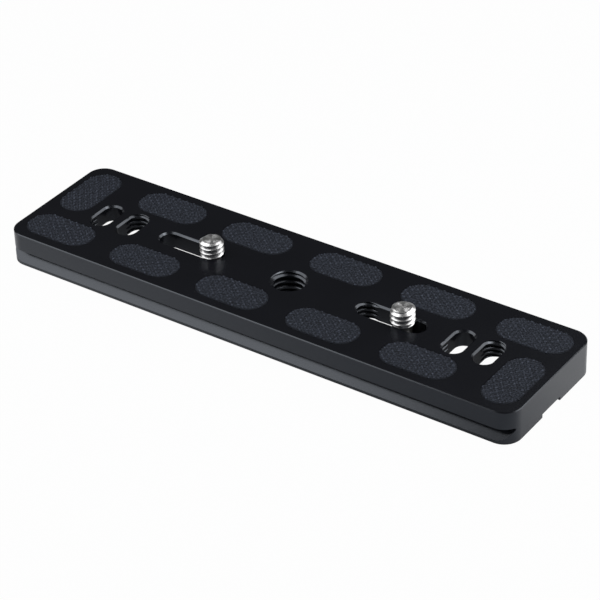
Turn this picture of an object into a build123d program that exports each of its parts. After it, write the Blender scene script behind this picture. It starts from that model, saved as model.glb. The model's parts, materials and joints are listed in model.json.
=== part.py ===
import os

from build123d import *

# Quick release plate for a tripod head: a milled aluminium bar with dovetail sides,
# inlaid rubber pads and two captive 1/4-20 camera screws that slide in their slots.
# Frame: X along the plate, Z up, origin at the middle of the underside. Millimetres.

# Plate blank
plate_length = 150.0
plate_width = 38.7
plate_height = 9.1
corner_radius = 4.7
top_edge_chamfer = 0.2
bottom_edge_chamfer = 0.1

# Dovetail groove along both long sides, with a 45 degree lower flank
lip_height = 0.9
groove_depth = 2.9
groove_inner_wall = 0.5

# Two pockets milled into the underside, with a solid bridge between them for the
# tapped hole and an end wall at each end
web_thickness = 4.45
rail_width = 7.35
end_wall = 9.0
head_to_bridge_gap = 3.0
pocket_corner_radius = 3.0

# Shallow notch under each end wall
notch_width = 8.3
notch_depth = 1.1
notch_offset = 0.8

# Anti-slip pads, glued into shallow seats in the top face
pad_length = 20.0
pad_width = 10.0
pad_thickness = 0.8
pad_stand_proud = 0.3
pad_side_clearance = 0.05
pad_gap = 7.0
pad_end_margin = 2.0
pad_side_margin = 2.6

# Slots for the camera screws and the tapped hole in the middle
slot_width = 5.2
slot_chamfer = 0.45
slot_to_pad_land = 1.35
outer_cross_slot_to_end = 17.6
cross_slot_pitch = 8.4
long_slot_to_cross_slot = 12.1
long_slot_inner_end = 23.1
tapped_hole_diameter = 7.94
tapped_hole_chamfer = 0.8

# Captive camera screws, 1/4 inch
thread_diameter = 6.2
thread_protrusion = 4.25
thread_end_chamfer_width = 0.8
thread_end_chamfer_height = 0.45
thread_seat_gap = 0.15
neck_diameter = 4.6
head_diameter = 12.0
head_height = 3.0
socket_flats = 4.0
socket_depth = 1.8
left_screw_from_inner_end = 0.5
right_screw_from_outer_end = 3.6

# Retaining washers between the screw heads and the web
washer_diameter = 11.0
washer_thickness = 0.8
washer_bore_clearance = 0.1
washer_play = 0.15
washer_head_clearance = 0.03

# Levels of the plate
groove_top = lip_height + groove_depth + groove_inner_wall
web_underside = plate_height - web_thickness
pad_seat = plate_height + pad_stand_proud - pad_thickness
pad_seat_depth = plate_height - pad_seat

# Places of the pads: one row along each long side and one pad across each end.
# The plate looks the same after half a turn about Z.
pad_row_y = plate_width / 2 - pad_side_margin - pad_width / 2
pad_row_start = plate_length / 2 - pad_end_margin - pad_length / 2
pad_pitch = pad_length + pad_gap
pads_in_row = int((plate_length - 2 * pad_end_margin - pad_width) // pad_pitch)
end_pad_x = plate_length / 2 - pad_end_margin - pad_width / 2
end_pad_y = plate_width / 2 - pad_side_margin - pad_length / 2

pads = [("pad_end_right", end_pad_x, -end_pad_y, 90), ("pad_end_left", -end_pad_x, end_pad_y, 90)]
for index in range(pads_in_row):
    row_x = index * pad_pitch - pad_row_start
    pads.append((f"pad_front_{index + 1}", row_x, -pad_row_y, 0))
    pads.append((f"pad_back_{index + 1}", -row_x, pad_row_y, 0))

# Places of the slots
outer_cross_slot = plate_length / 2 - outer_cross_slot_to_end
inner_cross_slot = outer_cross_slot - cross_slot_pitch
cross_slot_xs = (-outer_cross_slot, -inner_cross_slot, inner_cross_slot, outer_cross_slot)
slot_mouth_width = slot_width + 2 * slot_chamfer
cross_slot_mouth_length = 2 * (pad_row_y - pad_width / 2 - slot_to_pad_land)
cross_slot_travel = cross_slot_mouth_length - slot_mouth_width
long_slot_outer_end = inner_cross_slot - long_slot_to_cross_slot
long_slot_travel = long_slot_outer_end - long_slot_inner_end
long_slot_middle = (long_slot_outer_end + long_slot_inner_end) / 2

# Places of the pockets: the inner ends of the long slots leave room for a screw head
pocket_inner_end = long_slot_inner_end - head_diameter / 2 - head_to_bridge_gap
pocket_outer_end = plate_length / 2 - end_wall
pocket_length = pocket_outer_end - pocket_inner_end
pocket_middle = (pocket_outer_end + pocket_inner_end) / 2

# Levels and places of the screws
left_screw_x = -long_slot_inner_end - left_screw_from_inner_end
right_screw_x = long_slot_outer_end - right_screw_from_outer_end
washer_top = web_underside - washer_play
washer_bottom = washer_top - washer_thickness
head_top = washer_bottom - washer_head_clearance
head_bottom = head_top - head_height
thread_radius = thread_diameter / 2
neck_radius = neck_diameter / 2
thread_start = plate_height - (slot_mouth_width / 2 - thread_radius) + thread_seat_gap
thread_end = plate_height + thread_protrusion

os.makedirs("parts", exist_ok=True)

# Plate body: blank, grooves, slots, pockets and pad seats
with BuildPart() as plate_body:
    with BuildSketch():
        RectangleRounded(plate_length, plate_width, corner_radius)
    extrude(amount=plate_height)
    chamfer(plate_body.edges().group_by(Axis.Z)[-1], top_edge_chamfer)
    chamfer(plate_body.edges().group_by(Axis.Z)[0], bottom_edge_chamfer)

    # The grooves run straight past the rounded corners
    with BuildSketch(Plane.YZ):
        with BuildLine():
            flank_top = (plate_width / 2 - groove_depth, lip_height + groove_depth)
            Polyline(
                (plate_width / 2 + lip_height, 0),
                flank_top,
                (plate_width / 2 - groove_depth, groove_top),
                (plate_width / 2 + lip_height, groove_top),
                close=True,
            )
        make_face()
        mirror(about=Plane.YZ)
    extrude(amount=plate_length / 2, both=True, mode=Mode.SUBTRACT)

    # Slots through the web and the tapped hole through the bridge, with chamfered mouths
    with BuildSketch(Plane.XY.offset(plate_height)):
        with Locations((-long_slot_middle, 0), (long_slot_middle, 0)):
            SlotCenterToCenter(long_slot_travel, slot_width)
        with Locations(*[(x, 0) for x in cross_slot_xs]):
            SlotCenterToCenter(cross_slot_travel, slot_width, rotation=90)
    extrude(amount=-plate_height, mode=Mode.SUBTRACT)
    slot_mouths = plate_body.faces().sort_by(Axis.Z)[-1].inner_wires().edges()
    chamfer(slot_mouths, slot_chamfer)
    with Locations((0, 0, plate_height)):
        CounterSinkHole(
            radius=tapped_hole_diameter / 2,
            counter_sink_radius=tapped_hole_diameter / 2 + tapped_hole_chamfer,
            depth=plate_height,
            counter_sink_angle=90,
        )
    hole_rim = plate_body.edges().group_by(Axis.Z)[0].sort_by_distance((0, 0, 0))[0]
    chamfer(hole_rim, tapped_hole_chamfer)

    # Pockets under the web
    with BuildSketch():
        with Locations((-pocket_middle, 0), (pocket_middle, 0)):
            RectangleRounded(pocket_length, plate_width - 2 * rail_width, pocket_corner_radius)
    extrude(amount=web_underside, mode=Mode.SUBTRACT)

    # Notch under each end wall
    end_wall_middle = plate_length / 2 - end_wall / 2
    with Locations((end_wall_middle, -notch_offset, 0), (-end_wall_middle, notch_offset, 0)):
        Box(end_wall, notch_width, 2 * notch_depth, mode=Mode.SUBTRACT)

    # Seats of the pads
    with BuildSketch(Plane.XY.offset(plate_height)):
        for name, pad_x, pad_y, turn in pads:
            with Locations((pad_x, pad_y)):
                SlotOverall(
                    pad_length + 2 * pad_side_clearance,
                    pad_width + 2 * pad_side_clearance,
                    rotation=turn,
                )
    extrude(amount=-pad_seat_depth, mode=Mode.SUBTRACT)
plate_body.part.label = "plate_body"
export_step(plate_body.part, "parts/plate_body.step")

# Anti-slip pads
for name, pad_x, pad_y, turn in pads:
    with BuildPart() as pad:
        with BuildSketch(Plane.XY.offset(pad_seat)):
            with Locations((pad_x, pad_y)):
                SlotOverall(pad_length, pad_width, rotation=turn)
        extrude(amount=pad_thickness)
    pad.part.label = name
    export_step(pad.part, f"parts/{name}.step")

# Camera screws with their retaining washers
for side, screw_x in (("left", left_screw_x), ("right", right_screw_x)):
    with BuildPart() as camera_screw:
        with BuildSketch(Plane(origin=(screw_x, 0, 0), x_dir=(1, 0, 0), z_dir=(0, -1, 0))):
            with BuildLine():
                Polyline(
                    (0, head_bottom),
                    (head_diameter / 2, head_bottom),
                    (head_diameter / 2, head_top),
                    (neck_radius, head_top),
                    (neck_radius, thread_start - (thread_radius - neck_radius)),
                    (thread_radius, thread_start),
                    (thread_radius, thread_end - thread_end_chamfer_height),
                    (thread_radius - thread_end_chamfer_width, thread_end),
                    (0, thread_end),
                    close=True,
                )
            make_face()
        revolve(axis=Axis((screw_x, 0, 0), (0, 0, 1)))
        with BuildSketch(Plane.XY.offset(head_bottom)):
            with Locations((screw_x, 0)):
                RegularPolygon(radius=socket_flats / 2, side_count=6, major_radius=False)
        extrude(amount=socket_depth, mode=Mode.SUBTRACT)
    camera_screw.part.label = f"camera_screw_{side}"
    export_step(camera_screw.part, f"parts/camera_screw_{side}.step")

    with BuildPart() as washer:
        with BuildSketch(Plane.XY.offset(washer_bottom)):
            with Locations((screw_x, 0)):
                Circle(washer_diameter / 2)
                Circle(neck_radius + washer_bore_clearance, mode=Mode.SUBTRACT)
        extrude(amount=washer_thickness)
    washer.part.label = f"retaining_washer_{side}"
    export_step(washer.part, f"parts/retaining_washer_{side}.step")
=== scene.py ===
import json
import math

import bmesh
import bpy
from mathutils import Matrix, Vector


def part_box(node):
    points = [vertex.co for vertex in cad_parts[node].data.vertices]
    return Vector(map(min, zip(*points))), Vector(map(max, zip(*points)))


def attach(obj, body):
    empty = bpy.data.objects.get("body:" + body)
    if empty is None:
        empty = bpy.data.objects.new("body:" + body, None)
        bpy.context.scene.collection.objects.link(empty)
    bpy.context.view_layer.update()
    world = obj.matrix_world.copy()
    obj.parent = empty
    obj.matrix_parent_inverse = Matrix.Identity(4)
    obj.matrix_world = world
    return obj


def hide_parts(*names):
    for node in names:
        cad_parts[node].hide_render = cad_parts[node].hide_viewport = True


# Looks of the quick release plate: threads cut into the slots, the middle hole and the camera
# screws, woven pads, finishes, floor, studio light and camera. Metres, in the frame of the solids.
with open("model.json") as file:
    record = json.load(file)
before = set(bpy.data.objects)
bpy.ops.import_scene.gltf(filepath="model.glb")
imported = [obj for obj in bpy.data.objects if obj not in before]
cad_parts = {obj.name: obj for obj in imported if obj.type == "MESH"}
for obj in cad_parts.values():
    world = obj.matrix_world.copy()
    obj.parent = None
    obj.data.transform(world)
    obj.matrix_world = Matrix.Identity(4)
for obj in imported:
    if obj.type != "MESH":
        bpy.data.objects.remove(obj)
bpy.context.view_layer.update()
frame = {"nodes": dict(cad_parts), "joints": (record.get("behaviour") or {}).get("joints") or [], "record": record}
record = frame["record"]
joints = {joint["name"]: joint for joint in frame["joints"]}

MM = 0.001
INCH = 25.4 * MM
MERGE_DISTANCE = 0.002 * MM
FLAT_ANGLE = math.radians(0.5)

# The flanks of the threads lie at 30 degrees to the top face, so edges stay sharp from a little less
SMOOTH_ANGLE = math.radians(27)

# Threads: 1/4-20 on the screws and in one end of every slot, 3/8-16 in the middle hole
THREAD_FLANK = math.tan(math.radians(30))
THREAD_STEPS = 56
SCREW_PITCH = INCH / 20
SCREW_TAP_RADIUS = INCH / 8
SCREW_TAP_FLAT = SCREW_PITCH / 8
SCREW_ROOT_RADIUS = 2.2 * MM
SCREW_CREST = 0.06 * MM
HOLE_PITCH = INCH / 16
HOLE_TAP_RADIUS = 3 * INCH / 16
HOLE_TAP_FLAT = HOLE_PITCH / 8

# How far the thread cutters start before the wall that they cut into
SCREW_OVERRUN = 0.06 * MM
SLOT_OVERRUN = 4 * SCREW_OVERRUN
HOLE_OVERRUN = 3 * SCREW_OVERRUN

# Slots: where their round ends sit, how wide they are and how thick the web is there
CROSS_SLOT_ARC_Y = 2.35 * MM
SLOT_RADIUS = 2.6 * MM
WEB_THICKNESS = 4.45 * MM

# Camera screws: broken edges of the head and the end, where the thread starts, and how far the
# right screw is turned from the left one
HEAD_BEVEL = 0.4 * MM
END_BEVEL = 0.15 * MM
BEVEL_SEGMENTS = 2
RIM_TOLERANCE = 10 * MERGE_DISTANCE
THREAD_START_BELOW_TOP = 0.44 * SCREW_PITCH
THREAD_START_ANGLE = -math.pi / 2
RIGHT_SCREW_TURN = math.pi

# Weave of the pads: two threads to each pitch that pass over and under one another, ribs across
# the pad, and every other crossing a little lower
WEAVE_PITCH_ALONG = 1.163 * MM
WEAVE_PITCH_ACROSS = 0.943 * MM
WEAVE_STEPS = 6
WEAVE_DEPTH = 0.28 * MM
WEAVE_BLOCK_HEIGHT = 4 * WEAVE_DEPTH
THREAD_SHARE = 0.5
RIB_SHARE = 0.2
STAGGER_SHARE = 0.3
CREST_SHARPNESS = 1.3
PITCH_DIGITS = 3
HEIGHT_STEP = 0.005 * MM

# Cut edge of the pads: how wide it is, and how far the low places of the weave sink there
EDGE_WIDTH = 0.35 * MM
EDGE_SINK = 0.3 * MM

# Black anodising: its colour and sheen, and how much its clouds and its grain roughen it
ANODISED_DARK = (0.0028, 0.0030, 0.0046)
ANODISED_PALE = (0.0040, 0.0043, 0.0066)
ANODISED_SHEEN = 0.9
ANODISED_SHEEN_TINT = (0.84, 0.90, 1.0)
ANODISED_ROUGHNESS = 0.18
ANODISED_CLOUD_ROUGHNESS = 0.05
ANODISED_GRAIN_ROUGHNESS = 0.05
ANODISED_GRAIN_DEPTH = 0.006 * MM

# Rubber of the pads: painted shade in the valleys of the weave, its colour on its crests and on the flecks there.
# The painted shade of the valleys ends and the crests' colour begins at these shares of the weave's depth under
# its top
RUBBER_VALLEY_SHADE = (0.0078, 0.0095, 0.0145)
RUBBER_CREST = (0.004, 0.005, 0.007)
RUBBER_FLECK = (0.084, 0.098, 0.132)
RUBBER_SHEEN = 0.2
RUBBER_ROUGHNESS = 0.72
RUBBER_FLECK_ROUGHNESS = 0.16
VALLEY_SHARE = 0.85
CREST_SHARE = 0.15

# Turned steel: its colour from ring to ring, how rough the rings are, and how far they tilt the
# normals of the flat end faces, which are told by how upright they stand
STEEL_DARK = (0.68, 0.68, 0.68)
STEEL_PALE = (0.84, 0.84, 0.84)
STEEL_ROUGHNESS = 0.22
STEEL_RING_ROUGHNESS = 0.14
STEEL_RING_TILT = 3.4
END_FACE_UPRIGHT = 0.95

# Black nylon of the washers
NYLON_DARK = (0.022, 0.022, 0.024)
NYLON_PALE = (0.036, 0.036, 0.038)
NYLON_ROUGHNESS = 0.5
NYLON_GRAIN_ROUGHNESS = 0.2
NYLON_GRAIN_DEPTH = 0.01 * MM

# Floor: white to the camera. What polished metal mirrors of it is painted light, a glow that is no
# lamp: it starts in front of the plate, rises along the slope, is at its most from about the plate's
# middle to the back, and is weak under the plate as a painted shadow of the plate. The floor lies a
# hair below the plate, so that the two don't share a plane
FLOOR_SIZE = 6
FLOOR_DROP = 0.02 * MM
FLOOR_COLOUR = (0.45, 0.465, 0.495)
FLOOR_ROUGHNESS = 0.25
FLOOR_OWN_LIGHT = 0.98
GLOW_SLOPE = (-0.005 / MM, 0.042 / MM, 0)
GLOW_START = -1.5
GLOW_END = 0.08
GLOW_MOST = 0.6
GLOW_UNDER_PLATE = 0.13

# Studio light
LAMP_DISTANCE = 0.3
WORLD_STRENGTH = 0.05

# Camera, fitted to the photograph's edges
CAMERA_PLACE = Vector((296.39, -408.60, 341.53)) * MM
CAMERA_AZIMUTH = math.radians(35.655)
CAMERA_ELEVATION = math.radians(33.837)
CAMERA_ROLL = math.radians(-1.867)
CAMERA_LENS = 146.85
CAMERA_SENSOR = 36
IMAGE_WIDTH = 600
CAMERA_SHIFT = 0.5 / IMAGE_WIDTH


def middle_of(node):
    """Middle of a solid's box."""
    low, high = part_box(node)
    return (low + high) / 2


def opening_middle(name):
    """Middle, along the plate, of an opening that the record names."""
    low, high = next(o["box_m"] for o in record["physics"]["openings"] if o["name"] == name)
    return (low[0] + high[0]) / 2


def mount_radius(name):
    """Radius of a pin or a hole that the record names as a mount."""
    named = next(mount for mount in record["mounts"] if mount["name"] == name)
    return named["dims"]["r_mm"] * MM


# Sizes and places of the solids
plate_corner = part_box("plate_body")[1]
plate_top = plate_corner.z
pad_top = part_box("pad_front_1")[1].z
left_screw_x = middle_of("camera_screw_left").x
right_screw_x = middle_of("camera_screw_right").x
screw_low, screw_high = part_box("camera_screw_left")
head_radius = (screw_high.x - screw_low.x) / 2
screw_radius = mount_radius("left_screw_thread")
hole_radius = mount_radius("centre_thread")


def activate(piece):
    """Makes a piece the only one selected, and the active one."""
    bpy.ops.object.select_all(action="DESELECT")
    piece.select_set(True)
    bpy.context.view_layer.objects.active = piece


def select_points(piece, wanted):
    """Selects, in edit mode, the points whose place passes the test."""
    mesh = bmesh.from_edit_mesh(piece.data)
    for point in mesh.verts:
        point.select_set(wanted(point.co))
    mesh.select_flush(True)
    bmesh.update_edit_mesh(piece.data)


def select_numbered(piece, numbers):
    """Selects, in edit mode, the points with those numbers."""
    wanted = set(numbers)
    mesh = bmesh.from_edit_mesh(piece.data)
    for point in mesh.verts:
        point.select_set(point.index in wanted)
    mesh.select_flush(True)
    bmesh.update_edit_mesh(piece.data)


def select_edges(piece, wanted):
    """Selects, in edit mode, the edges whose two ends pass the test."""
    mesh = bmesh.from_edit_mesh(piece.data)
    for edge in mesh.edges:
        edge.select_set(wanted(edge.verts[0].co, edge.verts[1].co))
    mesh.select_flush_mode()
    bmesh.update_edit_mesh(piece.data)


def merged_copy(node, name):
    """A copy of a solid's mesh as a new piece, with its loose triangles joined up."""
    piece = bpy.data.objects.new(name, frame["nodes"][node].data.copy())
    piece.data.materials.clear()
    bpy.context.scene.collection.objects.link(piece)
    activate(piece)
    bpy.ops.object.mode_set(mode="EDIT")
    bpy.ops.mesh.select_all(action="SELECT")
    bpy.ops.mesh.customdata_custom_splitnormals_clear()
    bpy.ops.mesh.remove_doubles(threshold=MERGE_DISTANCE)
    bpy.ops.object.mode_set(mode="OBJECT")
    return piece


def copy_to(piece, name, shift, turn=0.0, axis_place=(0, 0, 0)):
    """A copy with its own mesh, turned about an upright axis and moved by shift."""
    twin = bpy.data.objects.new(name, piece.data.copy())
    bpy.context.scene.collection.objects.link(twin)
    activate(twin)
    bpy.ops.object.mode_set(mode="EDIT")
    bpy.ops.mesh.select_all(action="SELECT")
    bpy.ops.transform.rotate(value=turn, orient_axis="Z", center_override=axis_place)
    bpy.ops.transform.translate(value=shift)
    bpy.ops.object.mode_set(mode="OBJECT")
    return twin


def cut(piece, cutter):
    """Takes the cutter's shape out of the piece and throws the cutter away."""
    activate(piece)
    modifier = piece.modifiers.new("cut", "BOOLEAN")
    modifier.operation = "DIFFERENCE"
    modifier.solver = "EXACT"
    modifier.object = cutter
    bpy.ops.object.modifier_apply(modifier=modifier.name)
    bpy.data.objects.remove(cutter)
    bpy.ops.object.mode_set(mode="EDIT")
    bpy.ops.mesh.select_all(action="SELECT")
    bpy.ops.mesh.remove_doubles(threshold=MERGE_DISTANCE)
    bpy.ops.mesh.fill_holes(sides=4)
    bpy.ops.object.mode_set(mode="OBJECT")


def join_flat_faces(piece):
    """Joins the faces of a piece that lie in one plane."""
    activate(piece)
    bpy.ops.object.mode_set(mode="EDIT")
    bpy.ops.mesh.select_all(action="SELECT")
    bpy.ops.mesh.dissolve_limited(angle_limit=FLAT_ANGLE)
    bpy.ops.object.mode_set(mode="OBJECT")


def break_edges(piece, wanted, width):
    """Bevels the edges of a piece whose two ends pass the test."""
    activate(piece)
    bpy.ops.object.mode_set(mode="EDIT")
    bpy.ops.mesh.select_mode(type="EDGE")
    select_edges(piece, wanted)
    bpy.ops.mesh.bevel(offset=width, segments=BEVEL_SEGMENTS, affect="EDGES")
    bpy.ops.mesh.select_mode(type="VERT")
    bpy.ops.object.mode_set(mode="OBJECT")


def on_head_rim(a, b):
    """Whether an edge of the left screw runs round the rim of its head."""
    radii = [math.hypot(place.x - left_screw_x, place.y) for place in (a, b)]
    return min(radii) > head_radius - RIM_TOLERANCE and abs(a.z - b.z) < MERGE_DISTANCE


def on_end_rim(a, b):
    """Whether an edge of the left screw runs round its end face."""
    return min(a.z, b.z) > screw_high.z - MERGE_DISTANCE


def thread_cutter(base_radius, tip_radius, tip_width, pitch, bottom, top, place, start=0.0):
    """A right-handed helical bar about a vertical axis, from the angle start on.
    Its section narrows from base to tip at 60 degrees."""
    depth = abs(tip_radius - base_radius)
    base_width = tip_width + 2 * depth * THREAD_FLANK
    middle = (base_radius + tip_radius) / 2
    bpy.ops.object.select_all(action="DESELECT")
    bpy.ops.mesh.primitive_plane_add(size=1, location=(middle, 0, bottom), rotation=(math.pi / 2, 0, 0))
    bar = bpy.context.object
    bpy.ops.object.transform_apply(location=True, rotation=True, scale=True)
    bpy.ops.object.mode_set(mode="EDIT")
    bpy.ops.transform.resize(value=(depth, 1, base_width), center_override=(middle, 0, bottom))
    tip_is_outside = tip_radius > base_radius
    select_points(bar, lambda point: (point.x > middle) == tip_is_outside)
    narrowing = tip_width / base_width
    bpy.ops.transform.resize(value=(1, 1, narrowing), center_override=(tip_radius, 0, bottom))
    bpy.ops.object.mode_set(mode="OBJECT")

    helix = bar.modifiers.new("helix", "SCREW")
    helix.axis = "Z"
    helix.angle = math.tau
    helix.screw_offset = pitch
    helix.iterations = math.ceil((top - bottom) / pitch)
    helix.steps = THREAD_STEPS
    helix.render_steps = THREAD_STEPS
    bpy.ops.object.modifier_apply(modifier=helix.name)

    bpy.ops.object.mode_set(mode="EDIT")
    bpy.ops.mesh.select_all(action="SELECT")
    bpy.ops.mesh.remove_doubles(threshold=MERGE_DISTANCE)
    bpy.ops.mesh.fill_holes(sides=4)
    bpy.ops.mesh.select_all(action="SELECT")
    bpy.ops.mesh.normals_make_consistent(inside=False)
    bpy.ops.transform.rotate(value=-start, orient_axis="Z", center_override=(0, 0, 0))
    bpy.ops.transform.translate(value=place)
    bpy.ops.object.mode_set(mode="OBJECT")
    return bar


def weave_height(along, across):
    """Height of the weave over its valleys, at a place counted in pitches along and across the pad."""
    threads = math.cos(math.tau * along) * math.cos(math.tau * across)
    ribs = math.cos(math.tau * along)
    stagger = math.cos(math.pi * along) * math.cos(math.pi * across)
    wave = THREAD_SHARE * threads + RIB_SHARE * ribs + STAGGER_SHARE * stagger
    return WEAVE_DEPTH * max(0.5 + 0.5 * wave, 0.0) ** CREST_SHARPNESS


def edge_sink(x, y, size_x, size_y, rise):
    """How far a place near a pad's outline sinks: the lower it lies in the weave, the further."""
    end_radius = min(size_x, size_y) / 2
    past_x = max(abs(x) - (size_x / 2 - end_radius), 0)
    past_y = max(abs(y) - (size_y / 2 - end_radius), 0)
    inside = end_radius - math.hypot(past_x, past_y)
    nearness = min(max(1 - inside / EDGE_WIDTH, 0), 1)
    return EDGE_SINK * nearness * (1 - rise / WEAVE_DEPTH)


def weave_cutter(top_middle, size_x, size_y):
    """A block whose underside carries the weave of a pad. It reaches past the pad all round."""
    pitch_x, pitch_y = WEAVE_PITCH_ALONG, WEAVE_PITCH_ACROSS
    if size_y > size_x:
        pitch_x, pitch_y = pitch_y, pitch_x
    ribs_x = 2 * math.ceil(size_x / pitch_x / 2) + 2
    ribs_y = 2 * math.ceil(size_y / pitch_y / 2) + 2
    bpy.ops.object.select_all(action="DESELECT")
    bpy.ops.mesh.primitive_grid_add(
        x_subdivisions=ribs_x * WEAVE_STEPS, y_subdivisions=ribs_y * WEAVE_STEPS, size=1
    )
    block = bpy.context.object
    bpy.ops.object.mode_set(mode="EDIT")
    bpy.ops.transform.resize(value=(ribs_x * pitch_x, ribs_y * pitch_y, 1), center_override=(0, 0, 0))
    mesh = bmesh.from_edit_mesh(block.data)
    levels = {}
    for point in mesh.verts:
        x, y = point.co.x, point.co.y
        rise = weave_height(round(x / pitch_x, PITCH_DIGITS), round(y / pitch_y, PITCH_DIGITS))
        height = rise - edge_sink(x, y, size_x, size_y, rise)
        levels.setdefault(round(height / HEIGHT_STEP), []).append(point.index)
    for level, points in levels.items():
        select_numbered(block, points)
        bpy.ops.transform.translate(value=(0, 0, level * HEIGHT_STEP))
    bpy.ops.mesh.select_all(action="SELECT")
    bpy.ops.mesh.extrude_region_move(TRANSFORM_OT_translate={"value": (0, 0, WEAVE_BLOCK_HEIGHT)})
    bpy.ops.mesh.select_all(action="SELECT")
    bpy.ops.mesh.normals_make_consistent(inside=False)
    bpy.ops.transform.translate(value=top_middle - Vector((0, 0, WEAVE_DEPTH)))
    bpy.ops.object.mode_set(mode="OBJECT")
    return block


def woven_pad(node):
    """A pad with the weave cut into its top."""
    low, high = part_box(node)
    pad = merged_copy(node, node.replace("pad_", "woven_pad_"))
    top_middle = Vector(((low.x + high.x) / 2, (low.y + high.y) / 2, high.z))
    cut(pad, weave_cutter(top_middle, high.x - low.x, high.y - low.y))
    return pad


def finish_piece(piece, node, body, material):
    """Smooths the piece, puts it in the place of its solid and gives it its material."""
    activate(piece)
    bpy.ops.object.shade_smooth_by_angle(angle=SMOOTH_ANGLE)
    piece.data.materials.append(material)
    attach(piece, body)
    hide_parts(node)


class Wire:
    """An output socket in a node tree. Arithmetic between wires and numbers adds Math nodes."""

    def __init__(self, tree, socket=None):
        self.tree = tree
        self.socket = socket

    def node(self, kind, settings=None, inputs=None, output=0):
        """Adds a node of that type: its settings first, then the values or links of its sockets."""
        made = self.tree.nodes.new("ShaderNode" + kind)
        for key, value in (settings or {}).items():
            if key == "stops":
                for stop, (position, level) in zip(made.color_ramp.elements, value):
                    stop.position = position
                    stop.color = (level, level, level, 1)
            else:
                setattr(made, key, value)
        for key, value in (inputs or {}).items():
            target = made.inputs[key] if isinstance(key, int) else next(
                socket for socket in made.inputs if socket.name == key and socket.enabled
            )
            if isinstance(value, Wire):
                self.tree.links.new(value.socket, target)
            else:
                target.default_value = value
        if isinstance(output, int):
            return Wire(self.tree, made.outputs[output])
        return Wire(self.tree, next(s for s in made.outputs if s.name == output and s.enabled))

    def math(self, operation, first, second=0.0):
        return self.node("Math", {"operation": operation}, {0: first, 1: second})

    def __add__(self, other):
        return self.math("ADD", self, other)

    def __radd__(self, other):
        return self.math("ADD", other, self)

    def __sub__(self, other):
        return self.math("SUBTRACT", self, other)

    def __rsub__(self, other):
        return self.math("SUBTRACT", other, self)

    def __mul__(self, other):
        return self.math("MULTIPLY", self, other)

    def __rmul__(self, other):
        return self.math("MULTIPLY", other, self)

    def into(self, shader, name):
        """Links this wire to a shader's input."""
        self.tree.links.new(self.socket, shader.inputs[name])


def new_material(name):
    """A material, the wire that its nodes are added with, and its shader."""
    material = bpy.data.materials.new(name)
    material.use_nodes = True
    return material, Wire(material.node_tree), material.node_tree.nodes["Principled BSDF"]


def colour_mix(wire, factor, first, second):
    """Goes from the first colour to the second. Each is a wire or three numbers."""
    ends = [colour if isinstance(colour, Wire) else (*colour, 1) for colour in (first, second)]
    return wire.node(
        "Mix", {"data_type": "RGBA"}, {"Factor": factor, "A": ends[0], "B": ends[1]}, "Result"
    )


def black_anodised():
    """Satin black anodising over a fine blasted grain, a little uneven in sheen."""
    material, tree, shader = new_material("black_anodised")
    place = tree.node("TexCoord", output="Object")
    cloud = tree.node("TexNoise", None, {"Vector": place, "Scale": 90.0, "Detail": 3.0}, "Fac")
    grain = tree.node("TexNoise", None, {"Vector": place, "Scale": 9000.0, "Detail": 2.0}, "Fac")
    colour_mix(tree, cloud, ANODISED_DARK, ANODISED_PALE).into(shader, "Base Color")
    roughness = ANODISED_ROUGHNESS + ANODISED_CLOUD_ROUGHNESS * cloud + ANODISED_GRAIN_ROUGHNESS * grain
    roughness.into(shader, "Roughness")
    bump = tree.node(
        "Bump", None, {"Height": grain, "Strength": 0.25, "Distance": ANODISED_GRAIN_DEPTH}, "Normal"
    )
    bump.into(shader, "Normal")
    shader.inputs["Specular IOR Level"].default_value = ANODISED_SHEEN
    shader.inputs["Specular Tint"].default_value = (*ANODISED_SHEEN_TINT, 1)
    return material


def grip_rubber():
    """Matt slate-grey rubber with pale flecks, painted darker between the ribs of the weave as shade."""
    material, tree, shader = new_material("grip_rubber")
    place = tree.node("TexCoord", output="Object")
    fleck = tree.node("TexNoise", None, {"Vector": place, "Scale": 2800.0, "Detail": 3.0}, "Fac")
    fleck_ramp = tree.node("ValToRGB", {"stops": [(0.42, 0.0), (0.60, 1.0)]}, {"Fac": fleck}, "Color")
    level = tree.node("SeparateXYZ", None, {"Vector": place}, "Z")
    valley_level = pad_top - VALLEY_SHARE * WEAVE_DEPTH
    crest_level = pad_top - CREST_SHARE * WEAVE_DEPTH
    height = tree.node(
        "MapRange", None,
        {
            "Value": level, "From Min": valley_level, "From Max": crest_level,
            "To Min": 0.0, "To Max": 1.0,
        },
    )
    crest = colour_mix(tree, fleck_ramp, RUBBER_CREST, RUBBER_FLECK)
    # Painted shade: the colour darkens from the crests down into the valleys of the weave
    colour_mix(tree, height, RUBBER_VALLEY_SHADE, crest).into(shader, "Base Color")
    (RUBBER_ROUGHNESS + RUBBER_FLECK_ROUGHNESS * fleck).into(shader, "Roughness")
    shader.inputs["Specular IOR Level"].default_value = RUBBER_SHEEN
    return material


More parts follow.
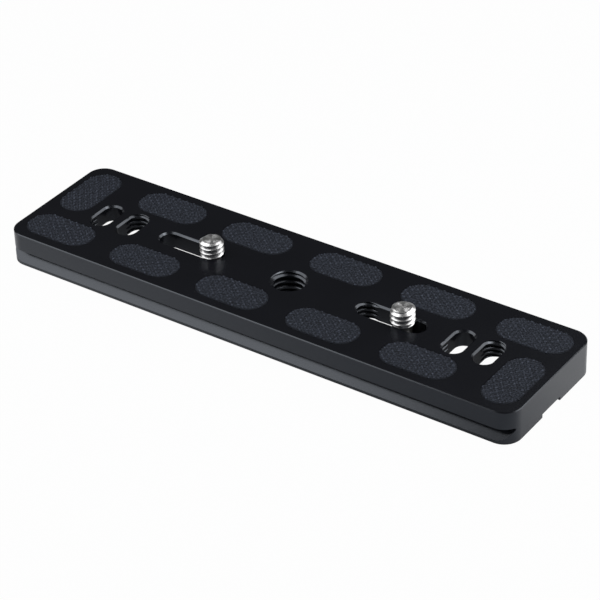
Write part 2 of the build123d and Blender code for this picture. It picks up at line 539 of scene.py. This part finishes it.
def turned_steel(name, axis_x):
    """Bright turned steel: fine tool marks in rings about the screw's axis."""
    material, tree, shader = new_material(name)
    place = tree.node("TexCoord", output="Object")
    centred = tree.node("Mapping", None, {"Vector": place, "Location": (-axis_x, 0, 0)})
    flat = tree.node("VectorMath", {"operation": "MULTIPLY"}, {0: centred, 1: (1, 1, 0)})
    outward = tree.node("VectorMath", {"operation": "NORMALIZE"}, {0: flat})
    radius = tree.node("VectorMath", {"operation": "LENGTH"}, {0: flat}, "Value")
    height = tree.node("SeparateXYZ", None, {"Vector": centred}, "Z")
    ring = tree.node(
        "TexNoise", {"noise_dimensions": "1D"},
        {"W": radius + height, "Scale": 24000.0, "Detail": 3.0}, "Fac",
    )
    facing = tree.node("NewGeometry", output="Normal")
    upright = tree.math("ABSOLUTE", tree.node("SeparateXYZ", None, {"Vector": facing}, "Z"))
    on_end = tree.math("GREATER_THAN", upright, END_FACE_UPRIGHT)
    slope = STEEL_RING_TILT * (ring - 0.5)
    world_outward = tree.node(
        "VectorTransform", {"vector_type": "VECTOR", "convert_from": "OBJECT", "convert_to": "WORLD"},
        {"Vector": outward},
    )
    tilt = tree.node("VectorMath", {"operation": "SCALE"}, {0: world_outward, "Scale": slope * on_end})
    tilted = tree.node("VectorMath", {"operation": "ADD"}, {0: facing, 1: tilt})
    normal = tree.node("VectorMath", {"operation": "NORMALIZE"}, {0: tilted})
    normal.into(shader, "Normal")
    colour_mix(tree, ring, STEEL_DARK, STEEL_PALE).into(shader, "Base Color")
    (STEEL_ROUGHNESS + STEEL_RING_ROUGHNESS * ring).into(shader, "Roughness")
    shader.inputs["Metallic"].default_value = 1.0
    return material


def black_nylon():
    """Matt black nylon with a faint moulded grain."""
    material, tree, shader = new_material("black_nylon")
    place = tree.node("TexCoord", output="Object")
    grain = tree.node("TexNoise", None, {"Vector": place, "Scale": 5000.0, "Detail": 2.0}, "Fac")
    colour_mix(tree, grain, NYLON_DARK, NYLON_PALE).into(shader, "Base Color")
    (NYLON_ROUGHNESS + NYLON_GRAIN_ROUGHNESS * grain).into(shader, "Roughness")
    bump = tree.node(
        "Bump", None, {"Height": grain, "Strength": 0.3, "Distance": NYLON_GRAIN_DEPTH}, "Normal"
    )
    bump.into(shader, "Normal")
    return material


def white_floor():
    """White to the camera, with a part of the real light left for the shadow, and clear from
    below. Polished metal mirrors a painted glow that fades towards the front and is weak under the
    plate as a painted shadow of the plate."""
    material, tree, shader = new_material("white_floor")
    shader.inputs["Base Color"].default_value = (*FLOOR_COLOUR, 1)
    shader.inputs["Roughness"].default_value = FLOOR_ROUGHNESS
    seen = tree.node("LightPath", output="Is Camera Ray")
    mirrored = tree.node("LightPath", output="Is Glossy Ray")
    white = tree.node("Emission", None, {"Color": (1, 1, 1, 1), "Strength": 1.0})
    lit = Wire(tree.tree, shader.outputs["BSDF"])
    place = tree.node("TexCoord", output="Object")
    slope = tree.node("VectorMath", {"operation": "DOT_PRODUCT"}, {0: place, 1: GLOW_SLOPE}, "Value")
    glow_beside = tree.node(
        "MapRange", None,
        {
            "Value": slope, "From Min": GLOW_START, "From Max": GLOW_END,
            "To Min": 0.0, "To Max": GLOW_MOST,
        },
    )
    reach = tree.node("VectorMath", {"operation": "ABSOLUTE"}, {0: place})
    reach_x = tree.node("SeparateXYZ", None, {"Vector": reach}, "X")
    reach_y = tree.node("SeparateXYZ", None, {"Vector": reach}, "Y")
    beyond_end = tree.math("GREATER_THAN", reach_x, plate_corner.x)
    beyond_side = tree.math("GREATER_THAN", reach_y, plate_corner.y)
    beside = tree.math("MAXIMUM", beyond_end, beyond_side)
    # Painted light: a glow, no lamp, that only reflections see, graded beside the plate and weak under it as a
    # painted shadow of the plate
    painted_glow = beside * glow_beside + (1 - beside) * GLOW_UNDER_PLATE
    own_light = FLOOR_OWN_LIGHT * seen + painted_glow * mirrored
    topped = tree.node("MixShader", None, {0: own_light, 1: lit, 2: white})
    below = tree.node("NewGeometry", output="Backfacing")
    clear = tree.node("BsdfTransparent")
    shown = tree.node("MixShader", None, {0: below, 1: topped, 2: clear})
    shown.into(material.node_tree.nodes["Material Output"], "Surface")
    return material


def softbox(name, azimuth, elevation, width, height, power):
    """A lamp that faces the plate. Its azimuth is counted in degrees from the front round the
    left, its elevation in degrees from the floor."""
    lamp = bpy.data.lights.new(name, "AREA")
    lamp.shape = "RECTANGLE"
    lamp.size = width
    lamp.size_y = height
    lamp.energy = power
    holder = bpy.data.objects.new(name, lamp)
    bpy.context.scene.collection.objects.link(holder)
    turn = math.radians(azimuth)
    lift = math.radians(elevation)
    away = Vector((-math.sin(turn) * math.cos(lift), -math.cos(turn) * math.cos(lift), math.sin(lift)))
    holder.location = away * LAMP_DISTANCE
    holder.rotation_mode = "QUATERNION"
    holder.rotation_quaternion = (-away).to_track_quat("-Z", "Y")


# Plate: the solid with its threads cut, in one round end of each slot and in the middle hole
tapped_slot_ends = [
    (opening_middle("outer_left_cross_slot"), -CROSS_SLOT_ARC_Y),
    (opening_middle("inner_left_cross_slot"), CROSS_SLOT_ARC_Y),
    (opening_middle("inner_right_cross_slot"), -CROSS_SLOT_ARC_Y),
    (opening_middle("outer_right_cross_slot"), CROSS_SLOT_ARC_Y),
    (left_screw_x + joints["left_screw_slide"]["range_m"][1], 0),
    (right_screw_x + joints["right_screw_slide"]["range_m"][0], 0),
]
web_bottom = plate_top - WEB_THICKNESS
plate = merged_copy("plate_body", "threaded_plate")
for x, y in tapped_slot_ends:
    slot_thread = thread_cutter(
        SLOT_RADIUS - SLOT_OVERRUN, SCREW_TAP_RADIUS, SCREW_TAP_FLAT, SCREW_PITCH,
        web_bottom - SCREW_PITCH, plate_top + SCREW_PITCH, (x, y, 0),
    )
    cut(plate, slot_thread)
hole_thread = thread_cutter(
    hole_radius - HOLE_OVERRUN, HOLE_TAP_RADIUS, HOLE_TAP_FLAT, HOLE_PITCH,
    -HOLE_PITCH, plate_top + HOLE_PITCH, (0, 0, 0),
)
cut(plate, hole_thread)

# Camera screws: the solid with its edges broken and its thread cut, made once and copied
left_screw = merged_copy("camera_screw_left", "threaded_screw_left")
join_flat_faces(left_screw)
break_edges(left_screw, on_head_rim, HEAD_BEVEL)
break_edges(left_screw, on_end_rim, END_BEVEL)
screw_root_width = SCREW_PITCH - SCREW_CREST - 2 * (screw_radius - SCREW_ROOT_RADIUS) * THREAD_FLANK
screw_thread = thread_cutter(
    screw_radius + SCREW_OVERRUN, SCREW_ROOT_RADIUS, screw_root_width, SCREW_PITCH,
    plate_top - THREAD_START_BELOW_TOP, screw_high.z + SCREW_PITCH, (left_screw_x, 0, 0),
    THREAD_START_ANGLE,
)
cut(left_screw, screw_thread)
right_screw = copy_to(
    left_screw, "threaded_screw_right", (right_screw_x - left_screw_x, 0, 0),
    RIGHT_SCREW_TURN, (left_screw_x, 0, 0),
)

# Pads: one of each direction is woven, the others are its copies
pads = {node: woven_pad(node) for node in ("pad_front_1", "pad_end_left")}
for node in sorted(name for name in frame["nodes"] if name.startswith("pad_")):
    if node not in pads:
        pattern = "pad_end_left" if "end" in node else "pad_front_1"
        shift = middle_of(node) - middle_of(pattern)
        pads[node] = copy_to(pads[pattern], node.replace("pad_", "woven_pad_"), shift)

# Finishes. The washers keep their solids' shape
finish_piece(plate, "plate_body", "plate", black_anodised())
rubber = grip_rubber()
for node, pad in pads.items():
    finish_piece(pad, node, "plate", rubber)
left_steel = turned_steel("turned_steel_left", left_screw_x)
finish_piece(left_screw, "camera_screw_left", "left_screw", left_steel)
right_steel = turned_steel("turned_steel_right", right_screw_x)
finish_piece(right_screw, "camera_screw_right", "right_screw", right_steel)
nylon = black_nylon()
for node in ("retaining_washer_left", "retaining_washer_right"):
    frame["nodes"][node].data.materials.clear()
    frame["nodes"][node].data.materials.append(nylon)

# Floor, lamps, world and camera
bpy.ops.object.select_all(action="DESELECT")
bpy.ops.mesh.primitive_plane_add(size=FLOOR_SIZE, location=(0, 0, -FLOOR_DROP))
floor = bpy.context.object
floor.name = "floor"
floor.data.materials.append(white_floor())

softbox("left_softbox", azimuth=65, elevation=48, width=0.335, height=0.30, power=0.55)
softbox("left_key", azimuth=48, elevation=58, width=0.13, height=0.12, power=0.05)
softbox("right_softbox", azimuth=226, elevation=46, width=0.335, height=0.30, power=0.625)
softbox("right_side", azimuth=252, elevation=52, width=0.12, height=0.11, power=0.124)

world = bpy.data.worlds.new("studio")
world.use_nodes = True
world.node_tree.nodes["Background"].inputs["Color"].default_value = (1, 1, 1, 1)
world.node_tree.nodes["Background"].inputs["Strength"].default_value = WORLD_STRENGTH
bpy.context.scene.world = world

camera = bpy.data.objects.new("camera", bpy.data.cameras.new("camera"))
bpy.context.scene.collection.objects.link(camera)
camera.data.lens = CAMERA_LENS
camera.data.sensor_width = CAMERA_SENSOR
camera.data.shift_x = -CAMERA_SHIFT
camera.data.shift_y = CAMERA_SHIFT
camera.matrix_world = (
    Matrix.Translation(CAMERA_PLACE)
    @ Matrix.Rotation(CAMERA_AZIMUTH, 4, "Z")
    @ Matrix.Rotation(math.pi / 2 - CAMERA_ELEVATION, 4, "X")
    @ Matrix.Rotation(CAMERA_ROLL, 4, "Z")
)
bpy.context.scene.camera = camera
bpy.context.scene.view_settings.view_transform = "Standard"
